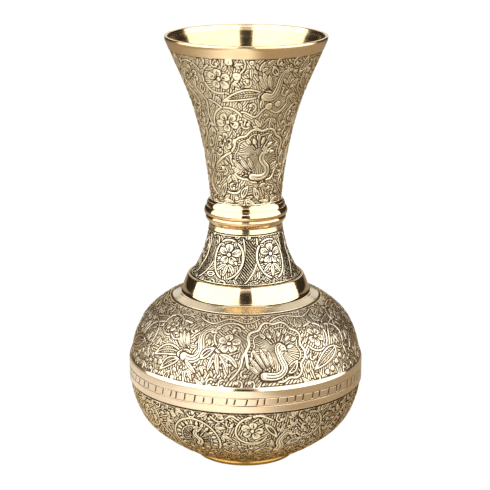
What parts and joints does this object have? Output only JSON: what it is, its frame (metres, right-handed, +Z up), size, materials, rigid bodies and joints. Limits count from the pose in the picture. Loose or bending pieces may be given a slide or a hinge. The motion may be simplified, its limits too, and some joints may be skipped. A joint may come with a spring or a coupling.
{
  "type": "engraved brass flower vase",
  "caption": "Tall brass vase with a round engraved belly, waisted neck, turned collar and flaring trumpet mouth, standing on a small foot ring.",
  "frame": {"origin": "centre of the foot, on the surface the vase stands on", "axes": "+Z up along the vase's axis of revolution, towards the mouth; -Y faces the viewer, +X to the viewer's right"},
  "size_m": [0.1378, 0.1378, 0.25],
  "materials": {
    "engraved_brass": "chased and engraved brass with brown patina in the cuts, satin on the raised work",
    "polished_brass": "lathe-polished brass",
    "plain_brass": "dull turned brass",
    "braze": "matt braze metal"
  },
  "bodies": {
    "root": {"mouth_trumpet": "engraved_brass", "upper_collar_ring": "polished_brass", "lower_collar_ring": "polished_brass", "lower_neck": "engraved_brass", "shoulder_collar": "polished_brass", "upper_bowl": "engraved_brass", "belly_band": "polished_brass", "lower_bowl": "engraved_brass", "foot_ring": "polished_brass", "base_disc": "plain_brass", "braze_neck": "braze", "braze_shoulder": "braze", "braze_belly": "braze", "braze_base": "braze"}
  },
  "joints": []
}
